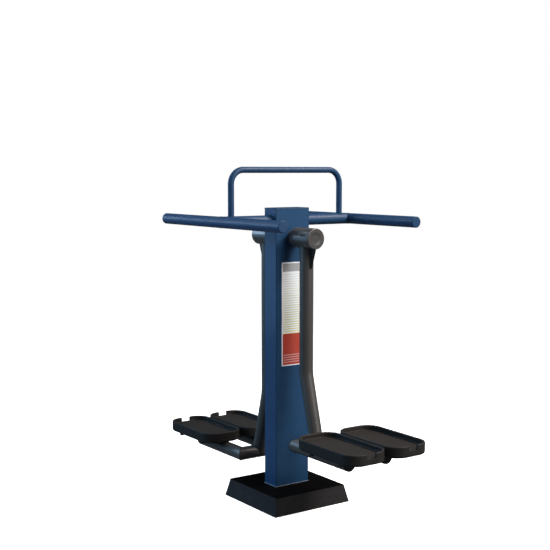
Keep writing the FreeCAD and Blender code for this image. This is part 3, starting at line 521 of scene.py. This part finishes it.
def cover_shade(tree, place, shown):
    """Near-black top of the cover, with dust in patches near the ground."""
    height = split_vector(tree, place)["Z"]
    top = node_box("base_cover")[1][2]
    fade_start, fade_end = 0.0008, 0.0003
    dark_top, dust = (0.002, 0.002, 0.002), (0.16, 0.145, 0.12)
    upper = range_node(tree, height, top - fade_start, top - fade_end, 0.0, 0.99)
    shown = blend_node(tree, upper, shown, dark_top)
    dusty = place_group(tree, dust_group(), Vector=place, Reach=0.09)
    return blend_node(tree, weaken(tree, dusty.outputs["Dust"], 0.08), shown, dust)


def column_shade(tree, place, shown):
    """Painted shade: a darker line down the column's four upright edges, where the corners turn away from
    the lights.
    """
    parts = split_vector(tree, place)
    column = node_box("column_tube")[1]
    fade_start, fade_end = 0.0026, 0.0012
    corner_shade = (0.004, 0.010, 0.024)
    nearness = []
    for label, edge in (("X", column[0]), ("Y", column[1])):
        out = math_node(tree, "ABSOLUTE", parts[label])
        nearness.append(range_node(tree, out, edge - fade_start, edge - fade_end, 0.0, 1.0))
    edge_shade_mask = math_node(tree, "MULTIPLY", *nearness)
    return blend_node(tree, weaken(tree, edge_shade_mask, 0.7), shown, corner_shade)


def tray_shade(tree, place, shown):
    """Painted shade on the trays: darker long walls, most inside, with a soft painted shadow on the floor
    beside them.

    The distance from a rounded box about each tray's middle tells the inside from the rim and the outside,
    the height tells wall from floor, and the distance across the tray tells a long wall from an end wall.
    """
    low, high = node_box("front_pedal_left")
    middle = np.abs(low + high) / 2
    half = (high - low) / 2
    corner, rim, depth, skin = 0.068, 0.0085, 0.0213, 0.001
    inner = corner - rim
    band_full, band_end = 0.006, 0.020
    side_full, side_end = 0.015, 0.055
    rim_clear, rim_fade = 0.006, 0.009
    rise_end, rise_full = 0.0002, 0.0012
    crease_full, crease_end = 0.003, 0.006
    deep_shade = (0.004, 0.004, 0.004)
    parts = split_vector(tree, place)
    offsets, squares = [], []
    for axis, label in enumerate(("X", "Y")):
        out = math_node(tree, "ABSOLUTE", parts[label])
        out = math_node(tree, "ABSOLUTE", math_node(tree, "SUBTRACT", out, middle[axis]))
        past = math_node(tree, "MAXIMUM", math_node(tree, "SUBTRACT", out, half[axis] - corner), 0.0)
        offsets.append(out)
        squares.append(math_node(tree, "MULTIPLY", past, past))
    distance = math_node(tree, "SQRT", math_node(tree, "ADD", *squares))
    inside = math_node(tree, "LESS_THAN", distance, inner)
    outside = math_node(tree, "GREATER_THAN", distance, corner - skin)
    beside = range_node(tree, distance, inner - band_end, inner - band_full, 0.0, 0.9)
    long_wall = range_node(tree, offsets[0], half[0] - side_end, half[0] - side_full, 0.25, 1.0)
    walls, creases = [], []
    for end in ENDS:
        top = node_box(end + "_pedal_left")[1][2]
        floor = top - depth
        above = range_node(tree, parts["Z"], floor + rise_end, floor + rise_full, 0.0, 1.0)
        on_floor = math_node(tree, "GREATER_THAN", parts["Z"], floor - skin)
        dark = math_node(tree, "MAXIMUM", above, math_node(tree, "MULTIPLY", beside, on_floor))
        below = range_node(tree, parts["Z"], top - rim_fade, top - rim_clear, 1.0, 0.0)
        walls.append(math_node(tree, "MULTIPLY", dark, below))
        # Painted shade in the crease between wall and floor, which also hides the fillet's highlight.
        crease = range_node(tree, parts["Z"], floor + crease_full, floor + crease_end, 0.8, 0.0)
        creases.append(math_node(tree, "MULTIPLY", above, crease))
    wall = math_node(tree, "MULTIPLY", inside, math_node(tree, "MAXIMUM", *walls))
    wall = math_node(tree, "MAXIMUM", wall, math_node(tree, "MULTIPLY", outside, 0.5))
    wall = math_node(tree, "MULTIPLY", wall, long_wall)
    crease = math_node(tree, "MULTIPLY", inside, math_node(tree, "MAXIMUM", *creases))
    wall = math_node(tree, "MAXIMUM", wall, crease)
    return blend_node(tree, weaken(tree, wall, 0.6), shown, deep_shade)


def blue_coat(scene):
    """Satin blue powder coat of the stand's tubes and cap, darker and smoother than the column's."""
    coat = scene.machine_coating
    tone, smoother = 0.89, 12
    shown = np.array(coat.blue) * tone
    return coat_material(
        "blue_powder_coat", shown, coat.peel_size, coat.peel_depth / smoother, roughness=0.42, gloss=0.225)


def dark_coat(scene, name, tone, roughness, gloss):
    """Dark powder coat of the pendulums: satin on tubes and caps, glossier on hubs, and a near-black copy
    on gussets that is painted shade.
    """
    coat = scene.machine_coating
    smoother = 8
    shown = np.array(coat.dark) * tone
    return coat_material(name, shown, coat.peel_size, coat.peel_depth / smoother, roughness, gloss)


def weld_shade_coat(scene, name, colour):
    """Darker copy of a coat for the weld beads: painted shade of the crevice where a bead meets the tubes.
    """
    coat = scene.machine_coating
    tone = 0.55
    shown = np.array(colour) * tone
    return coat_material(name, shown, coat.peel_size, coat.peel_depth, roughness=0.5, gloss=0.2)


class MACHINE_OT_stand_coat(Operator):
    """Coat the column, hand bars, cross tube, hoop and base cover"""

    bl_idname = "machine.stand_coat"
    bl_label = "Stand Coat"

    def execute(self, context):
        coat = context.scene.machine_coating
        blue_nodes = ["column_cap", "cross_tube", "arch_tube", "handle_left", "handle_right", "handle_caps"]
        finish_nodes(blue_coat(context.scene), blue_nodes)
        column = coat_material(
            "column_powder_coat", coat.blue, coat.peel_size, coat.peel_depth, roughness=0.42, gloss=0.12,
            shade=column_shade, clear=0.31)
        finish_nodes(column, ["column_tube"])
        cover = coat_material(
            "cover_powder_coat", coat.cover, coat.peel_size, coat.peel_depth, roughness=0.55, gloss=0.01,
            shade=cover_shade)
        finish_nodes(cover, ["base_cover"])
        return {"FINISHED"}


class MACHINE_OT_pendulum_coat(Operator):
    """Coat the axle, hubs, arms, gussets and foot frames"""

    bl_idname = "machine.pendulum_coat"
    bl_label = "Pendulum Coat"

    def execute(self, context):
        satin_pieces = ["arm_tube", "foot_bar"]
        for hand in ("left", "right"):
            satin_pieces += ["pedal_tube_" + hand, "pedal_plate_" + hand]
        scene = context.scene
        # The hubs' tone, above that of the satin coat, is painted light: it brightens their sides.
        hub = dark_coat(scene, "hub_powder_coat", tone=1.02, roughness=0.28, gloss=0.62)
        cap = dark_coat(scene, "cap_powder_coat", tone=0.82, roughness=0.38, gloss=0.46)
        satin = dark_coat(scene, "dark_powder_coat", tone=0.93, roughness=0.38, gloss=0.46)
        # Near-black copy of the coat: painted shade on the gussets and thrust washers, which lie in the
        # hubs' shadow.
        near_black_shade = dark_coat(scene, "painted_shade_powder_coat", tone=0.15, roughness=0.5, gloss=0.1)
        finish_nodes(satin, ["pivot_axle"])
        for end in ENDS:
            finish_nodes(hub, [end + "_hub_housing"])
            finish_nodes(cap, [end + "_hub_cap"])
            finish_nodes(near_black_shade, [end + "_hub_gusset", end + "_thrust_washer"])
            finish_nodes(satin, [end + "_" + piece for piece in satin_pieces])
        return {"FINISHED"}


class MACHINE_OT_tray_plastic(Operator):
    """Give the foot trays and tube caps their moulded plastic"""

    bl_idname = "machine.tray_plastic"
    bl_label = "Tray Plastic"

    def execute(self, context):
        coat = context.scene.machine_coating
        # The rear trays get a darker copy of the plastic: painted shade, as they stand further from the
        # lights.
        for end, tone in (("front", 1.0), ("rear", 0.87)):
            shown = np.array(coat.plastic) * tone
            plastic = coat_material(
                end + "_tray_plastic", shown, coat.mould_size, MOULD_DEPTH, roughness=0.55, gloss=0.13,
                shade=tray_shade)
            moulded = ("pedal_left", "pedal_right", "tube_caps")
            finish_nodes(plastic, [end + "_" + piece for piece in moulded])
        return {"FINISHED"}


def metal_material(name, colour, roughness, grain, depth):
    """Bare metal: cloudy tone and fine grain in its roughness."""
    found = bpy.data.materials.get(name)
    if found:
        return found
    material, tree, shader, place = new_material(name)
    coat = place_group(tree, coat_group(), Vector=place, Fine_Scale=1.0 / grain)
    base = np.array(colour)
    dull, full = base * 0.86, np.minimum(base * 1.08, 1.0)
    tone = noise_range(tree, coat.outputs["Cloud"], 0.0, 1.0)
    tree.links.new(blend_node(tree, tone, dull, full), shader.inputs["Base Color"])
    rough = noise_range(tree, coat.outputs["Fine"], roughness - 0.08, roughness + 0.08)
    tree.links.new(rough, shader.inputs["Roughness"])
    shader.inputs["Metallic"].default_value = 1.0
    add_bump(tree, shader, coat.outputs["Fine"], depth)
    return material


class MACHINE_OT_inner_metal(Operator):
    """Finish the foot plate, the fittings inside the hubs, the bushings, buffers and fasteners"""

    bl_idname = "machine.inner_metal"
    bl_label = "Inner Pieces"

    def execute(self, context):
        zinc = metal_material(
            "hot_dip_zinc", (0.52, 0.53, 0.54), roughness=0.48, grain=0.006, depth=0.0002)
        steel = metal_material(
            "machined_steel", (0.46, 0.46, 0.47), roughness=0.34, grain=0.0012, depth=0.00003)
        brass = metal_material(
            "turned_brass", (0.60, 0.44, 0.19), roughness=0.32, grain=0.0012, depth=0.00003)
        bolts = metal_material(
            "black_zinc", (0.060, 0.060, 0.064), roughness=0.42, grain=0.0014, depth=0.00004)
        polymer = coat_material(
            "bearing_polymer", (0.10, 0.10, 0.09), grain=0.0015, depth=0.00004, roughness=0.45, gloss=0.4)
        rubber = coat_material(
            "buffer_rubber", (0.020, 0.020, 0.020), grain=0.0012, depth=0.0001, roughness=0.75, gloss=0.25)
        finish_nodes(zinc, ["ground_flange", "flange_ribs"])
        finish_nodes(steel, ["axle_plugs"])
        for end in ENDS:
            fixed = ("stop_key", "retaining_disc", "axle_bolt")
            finish_nodes(steel, [end + "_" + piece for piece in fixed])
            finish_nodes(brass, [end + "_pedal_inserts"])
            finish_nodes(bolts, [end + "_pedal_washers", end + "_pedal_bolts"])
            finish_nodes(polymer, [end + "_hub_bushings"])
            finish_nodes(rubber, [end + "_stop_buffers"])
        return {"FINISHED"}


# Welds

class MACHINE_OT_stand_welds(Operator):
    """Lay the weld beads of the cross tube, the hand bars, the hoop and the column cap"""

    bl_idname = "machine.stand_welds"
    bl_label = "Stand Welds"

    def execute(self, context):
        weld = context.scene.machine_weld
        blue = weld_shade_coat(context.scene, "blue_weld_shade", context.scene.machine_coating.blue)
        cross_low, cross_high = node_box("cross_tube")
        cross_radius = (cross_high[1] - cross_low[1]) / 2
        axis = node_middle("cross_tube")
        column_high = node_box("column_tube")[1]
        hoop_low, hoop_high = node_box("arch_tube")
        hoop_radius = (hoop_high[1] - hoop_low[1]) / 2
        beads = []
        for hand, sign in (("left", -1.0), ("right", 1.0)):
            bar_low, bar_high = node_box("handle_" + hand)
            bar_radius = (bar_high[2] - bar_low[2]) / 2
            bar = node_middle("handle_" + hand)
            run = saddle_path(bar, -sign * AXIS_X, AXIS_Y, cross_radius, bar_radius)
            beads.append(("weld_hand_bar_" + hand, run, True, weld.flush_radius))
            face = np.array([column_high[0] * sign, axis[1], axis[2]])
            run = ring_path(face, AXIS_X, AXIS_Z, cross_radius)
            beads.append(("weld_column_" + hand, run, True, weld.radius))
            leg = np.array([(hoop_high[0] - hoop_radius) * sign, axis[1], axis[2]])
            run = saddle_path(leg, AXIS_Z, AXIS_X, hoop_radius, cross_radius)
            beads.append(("weld_hoop_" + hand, run, True, weld.fine_radius))
        lay_beads(beads, "stand", blue, weld)
        seam = hoop_piece("weld_column_cap", column_high, column_high[2], weld.flush_radius)
        place_piece(seam, "stand", blue_coat(context.scene))
        return {"FINISHED"}


def arm_foot(end, sign):
    """Middle of the foot bar, direction of the arm's lower run, Y of its upper run, and its radius."""
    low, high = node_box(end + "_arm_tube")
    bar = node_middle(end + "_foot_bar")
    radius = high[0]
    straight = sign * (min(abs(low[1]), abs(high[1])) + radius)
    bend_rise = 0.292
    run = np.array([0.0, straight - bar[1], bend_rise])
    return bar, run / np.linalg.norm(run), straight, radius


class MACHINE_OT_pendulum_welds(Operator):
    """Lay the weld beads of the hubs, arms, gussets and foot frames"""

    bl_idname = "machine.pendulum_welds"
    bl_label = "Pendulum Welds"

    def execute(self, context):
        weld = context.scene.machine_weld
        dark = weld_shade_coat(context.scene, "dark_weld_shade", context.scene.machine_coating.dark)
        for end, sign in ENDS.items():
            hub_radius = node_box(end + "_hub_housing")[1][0]
            hub = node_middle(end + "_hub_housing")
            bar, slope, straight, radius = arm_foot(end, sign)
            prefix = end + "_weld_"
            beads = []
            top = np.array([0.0, straight, hub[2]])
            run = saddle_path(top, -AXIS_Z, AXIS_Y, radius, hub_radius)
            beads.append((prefix + "arm_top", run, True, weld.radius))
            run = saddle_path(bar, slope, AXIS_X, radius, radius)
            beads.append((prefix + "arm_foot", run, True, weld.radius))
            gusset_low, gusset_high = node_box(end + "_hub_gusset")
            half = gusset_high[0]
            arm_face = straight + sign * math.sqrt(radius ** 2 - half ** 2)
            hub_face = hub[2] - math.sqrt(hub_radius ** 2 - half ** 2)
            far = gusset_low[1] if sign < 0 else gusset_high[1]
            for hand, side in (("left", -1.0), ("right", 1.0)):
                edge = side * half
                foot = np.array([edge, arm_face, gusset_low[2]])
                inner = np.array([edge, arm_face, hub_face])
                tip = np.array([edge, far, hub_face])
                run = line_path(foot, inner, side * AXIS_X)
                beads.append((prefix + "gusset_arm_" + hand, run, False, weld.fine_radius))
                run = line_path(inner, tip, side * AXIS_X)
                beads.append((prefix + "gusset_hub_" + hand, run, False, weld.fine_radius))
                tube = node_middle(end + "_pedal_tube_" + hand)
                corner = np.array([tube[0], bar[1], bar[2]])
                outer = np.array([side, -sign, 0.0])
                run = mitre_path(corner, outer, radius)
                beads.append((prefix + "mitre_" + hand, run, True, weld.fine_radius))
            lay_beads(beads, end + "_pendulum", dark, weld)
        return {"FINISHED"}


# Column foot and plate

class MACHINE_OT_foot_seal(Operator):
    """Run a bead of sealant round the column where it leaves the base cover"""

    bl_idname = "machine.foot_seal"
    bl_label = "Foot Seal"

    def execute(self, context):
        cover_top = node_box("base_cover")[1][2]
        column = node_box("column_tube")[1]
        seal_radius = 0.0024
        piece = hoop_piece("foot_seal", column, cover_top, seal_radius)
        # A bead of sealant whose pale colour is also a painted highlight along the column's foot.
        seal = coat_material(
            "pale_sealant_highlight", (0.145, 0.18, 0.245), grain=0.003, depth=0.0001, roughness=0.55, gloss=0.3)
        place_piece(piece, "stand", seal)
        return {"FINISHED"}


def between(tree, value, low, high):
    """One where a value lies between two numbers, and nought elsewhere."""
    above = math_node(tree, "GREATER_THAN", value, low)
    return math_node(tree, "MULTIPLY", above, math_node(tree, "LESS_THAN", value, high))


def plate_material(plate):
    """Bare printed plate: plain fields by height, a pale border, and blank rules in the lower fields."""
    material, tree, shader, place = new_material("bare_plate_print")
    parts = split_vector(tree, place)
    across = math_node(tree, "ABSOLUTE", parts["X"])
    height = parts["Z"]
    rule_share = 0.42
    weathered = (0.45, 0.44, 0.40)
    body_low = plate.low + plate.margin + plate.footer
    body_high = plate.high - plate.margin - plate.header
    past_footer = math_node(tree, "GREATER_THAN", height, body_low)
    field = blend_node(tree, past_footer, plate.footer_colour, plate.body_colour)
    past_body = math_node(tree, "GREATER_THAN", height, body_high)
    field = blend_node(tree, past_body, field, plate.header_colour)
    step = math_node(tree, "FRACT", math_node(tree, "DIVIDE", height, plate.rule_pitch))
    reach = math_node(tree, "LESS_THAN", across, plate.width / 2 - plate.margin * 1.8)
    rules = math_node(tree, "MULTIPLY", reach, math_node(tree, "LESS_THAN", step, rule_share))
    written = between(tree, height, body_low, body_high - plate.margin * 2)
    faded = range_node(tree, height, body_low, body_high, 0.0, 1.0)
    rule = blend_node(tree, faded, plate.rule_colour, plate.body_colour * 0.84)
    field = blend_node(tree, math_node(tree, "MULTIPLY", rules, written), field, rule)
    noted = between(tree, height, plate.low + plate.margin * 2.5, plate.low + plate.footer * 0.4)
    faint = weaken(tree, math_node(tree, "MULTIPLY", rules, noted), 0.3)
    field = blend_node(tree, faint, field, plate.border_colour)
    inside = math_node(tree, "LESS_THAN", across, plate.width / 2 - plate.margin)
    framed = between(tree, height, plate.low + plate.margin, plate.high - plate.margin)
    inside = math_node(tree, "MULTIPLY", inside, framed)
    shown = blend_node(tree, inside, plate.border_colour, field)
    coat = place_group(tree, coat_group(), Vector=place, Fine_Scale=700.0)
    fade = noise_range(tree, coat.outputs["Cloud"], 0.0, 0.05)
    shown = blend_node(tree, fade, shown, weathered)
    tree.links.new(shown, shader.inputs["Base Color"])
    # Painted light: a faint glow in the plate's own colours brightens it.
    tree.links.new(shown, shader.inputs["Emission Color"])
    shader.inputs["Emission Strength"].default_value = plate.painted_glow
    rough = noise_range(tree, coat.outputs["Cloud"], 0.38, 0.5)
    tree.links.new(rough, shader.inputs["Roughness"])
    shader.inputs["Specular IOR Level"].default_value = 0.6
    add_bump(tree, shader, coat.outputs["Fine"], depth=0.00002)
    return material


class MACHINE_OT_bare_plate(Operator):
    """Fix the bare plate to the column's front face"""

    bl_idname = "machine.bare_plate"
    bl_label = "Bare Plate"

    def execute(self, context):
        plate = context.scene.machine_plate
        face = node_box("column_tube")[0][1]
        bevel = plate.thick / 3
        middle = (plate.low + plate.high) / 2
        rings = []
        for inset, out in ((0.0, 0.0), (0.0, plate.thick - bevel), (bevel, plate.thick)):
            half_width = plate.width / 2 - inset
            half_height = (plate.high - plate.low) / 2 - inset
            outline = rounded_outline(half_width, half_height, plate.corner - inset)
            depth = np.full(len(outline), face - out)
            rings.append(np.column_stack([outline[:, 0], depth, outline[:, 1] + middle]))
        piece = grid_piece("bare_plate", np.stack(rings), False)
        piece.data.shade_flat()
        place_piece(piece, "stand", plate_material(plate))
        return {"FINISHED"}


# Stage

def camera_only(tree, shown, unseen):
    """Shader that the camera sees, with another one for every other ray."""
    path = tree.nodes.new("ShaderNodeLightPath")
    mix = tree.nodes.new("ShaderNodeMixShader")
    tree.links.new(path.outputs["Is Camera Ray"], mix.inputs["Fac"])
    tree.links.new(unseen, mix.inputs[1])
    tree.links.new(shown, mix.inputs[2])
    return mix.outputs[0]


SOFT_LIGHTS = (
    # name, group, azimuth from the front to the right, elevation, distance, share of the power, colour
    ("key_light", "warm", 40.0, 45.0, 6.0, 1.0, (1.0, 0.93, 0.85)),
    ("key_left", "warm", 5.0, 45.0, 6.0, 0.46, (1.0, 0.80, 0.76)),
    ("key_right", "warm", 70.0, 48.0, 6.0, 0.50, (1.0, 0.72, 0.60)),
    ("low_light", "warm", 22.0, 15.0, 6.0, 0.27, (0.92, 0.98, 1.0)),
    ("cool_left", "cool", -115.0, 15.0, 6.0, 0.81, (0.39, 0.71, 1.0)),
    ("cool_back", "cool", -150.0, 15.0, 6.0, 0.55, (0.50, 0.70, 1.0)),
    ("cool_high", "cool", -150.0, 45.0, 6.0, 0.38, (0.52, 0.74, 1.0)),
    ("back_panel", "panel", -146.0, 1.9, 4.0, 1.0, (0.30, 0.66, 1.0)),
)


def soft_light(stage, name, power, size, azimuth, elevation, distance, colour):
    """Soft square light on a dome round the machine, turned to its middle."""
    light = bpy.data.lights.new(name, "AREA")
    light.shape = "SQUARE"
    light.size = size * distance
    light.energy = power
    light.color = colour
    lamp = bpy.data.objects.new(name, light)
    bpy.context.scene.collection.objects.link(lamp)
    turn, rise = math.radians(azimuth), math.radians(elevation)
    aside = Vector((math.sin(turn) * math.cos(rise), -math.cos(turn) * math.cos(rise), math.sin(rise)))
    lamp.location = Vector((0.0, 0.0, stage.light_aim)) + distance * aside
    lamp.rotation_euler = (-aside).to_track_quat("-Z", "Y").to_euler()


def floor_material(stage):
    """Pale floor for the camera, which other rays meet as a dim glow, brighter in reflections."""
    material, tree, shader, place = new_material("pale_floor")
    tone = noise_range(tree, noise_node(tree, place, scale=1.5, detail=3.0), 0.0, 1.0)
    pale = blend_node(tree, tone, (0.88, 0.88, 0.88), (0.90, 0.90, 0.90))
    tree.links.new(pale, shader.inputs["Base Color"])
    shader.inputs["Roughness"].default_value = 0.9
    shader.inputs["Specular IOR Level"].default_value = 0.0
    shader.inputs["Emission Color"].default_value = (1.0, 1.0, 1.0, 1.0)
    shader.inputs["Emission Strength"].default_value = 0.95
    glow = tree.nodes.new("ShaderNodeEmission")
    glow.inputs["Color"].default_value = (0.78, 0.87, 1.0, 1.0)
    mirrored = tree.nodes.new("ShaderNodeLightPath").outputs["Is Glossy Ray"]
    strength = range_node(tree, mirrored, 0.0, 1.0, stage.bounce, stage.gleam)
    tree.links.new(strength, glow.inputs["Strength"])
    surface = camera_only(tree, shader.outputs[0], glow.outputs[0])
    tree.links.new(surface, tree.nodes["Material Output"].inputs["Surface"])
    return material


def even_sky(stage):
    """World that is white for the camera and an even dim blue for every other ray."""
    world = bpy.data.worlds.new("even_sky")
    world.use_nodes = True
    tree = world.node_tree
    dim = tree.nodes["Background"]
    dim.inputs["Color"].default_value = (0.77, 0.92, 1.0, 1.0)
    dim.inputs["Strength"].default_value = stage.sky
    white = tree.nodes.new("ShaderNodeBackground")
    white.inputs["Color"].default_value = (1.0, 1.0, 1.0, 1.0)
    surface = camera_only(tree, white.outputs[0], dim.outputs[0])
    tree.links.new(surface, tree.nodes["World Output"].inputs["Surface"])
    return world


def photo_camera(stage):
    """Camera at the place from which the photograph was taken."""
    lens = bpy.data.cameras.new("photo_camera")
    lens.sensor_width = 36.0
    lens.lens = stage.lens
    camera = bpy.data.objects.new("photo_camera", lens)
    camera.location = stage.camera_place
    camera.rotation_euler = stage.camera_turn
    bpy.context.scene.collection.objects.link(camera)
    return camera


class MACHINE_OT_stage(Operator):
    """Set up the pale floor, the soft lights and the camera"""

    bl_idname = "machine.stage"
    bl_label = "Stage"

    def execute(self, context):
        scene = context.scene
        stage = scene.machine_stage
        floor_sides, floor_thick = 96, 0.01
        turn = full_turn(floor_sides)
        rim = np.column_stack([np.cos(turn), np.sin(turn), np.zeros(floor_sides)]) * stage.floor_size
        floor = grid_piece("floor", np.stack([rim - floor_thick * AXIS_Z, rim]), False)
        floor.data.materials.append(floor_material(stage))
        for name, group, azimuth, elevation, distance, share, colour in SOFT_LIGHTS:
            power = share * getattr(stage, group)
            size = stage.panel_size if group == "panel" else stage.light_size
            soft_light(stage, name, power, size, azimuth, elevation, distance, colour)
        scene.world = even_sky(stage)
        scene.view_settings.view_transform = "Standard"
        scene.camera = photo_camera(stage)
        return {"FINISHED"}


class MACHINE_PT_panel(Panel):
    """Lists the machine's operators and settings"""

    bl_idname = "MACHINE_PT_panel"
    bl_label = "Pendulum Machine"
    bl_space_type = "VIEW_3D"
    bl_region_type = "UI"
    bl_category = "Pendulum Machine"

    def draw(self, context):
        for operator in OPERATORS:
            self.layout.operator(operator.bl_idname)
        for label in SETTINGS:
            group = getattr(context.scene, label)
            box = self.layout.box()
            for name in group.bl_rna.properties.keys():
                if name not in ("rna_type", "name"):
                    box.prop(group, name)


SETTINGS = {
    "machine_coating": CoatingSettings,
    "machine_weld": WeldSettings,
    "machine_plate": PlateSettings,
    "machine_stage": StageSettings,
}
OPERATORS = (
    MACHINE_OT_stand_coat,
    MACHINE_OT_pendulum_coat,
    MACHINE_OT_tray_plastic,
    MACHINE_OT_inner_metal,
    MACHINE_OT_stand_welds,
    MACHINE_OT_pendulum_welds,
    MACHINE_OT_foot_seal,
    MACHINE_OT_bare_plate,
    MACHINE_OT_stage,
)


def register():
    """Register the classes and put the settings on the scene."""
    for cls in (*SETTINGS.values(), *OPERATORS, MACHINE_PT_panel):
        bpy.utils.register_class(cls)
    for label, cls in SETTINGS.items():
        setattr(bpy.types.Scene, label, PointerProperty(type=cls))


def unregister():
    """Take the settings and the classes away again."""
    for label in SETTINGS:
        delattr(bpy.types.Scene, label)
    for cls in reversed((*SETTINGS.values(), *OPERATORS, MACHINE_PT_panel)):
        bpy.utils.unregister_class(cls)


def main():
    """Dress the machine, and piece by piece."""
    register()
    for operator in OPERATORS:
        group, name = operator.bl_idname.split(".")
        getattr(getattr(bpy.ops, group), name)()
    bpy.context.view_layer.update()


if __name__ == "__main__":
    main()
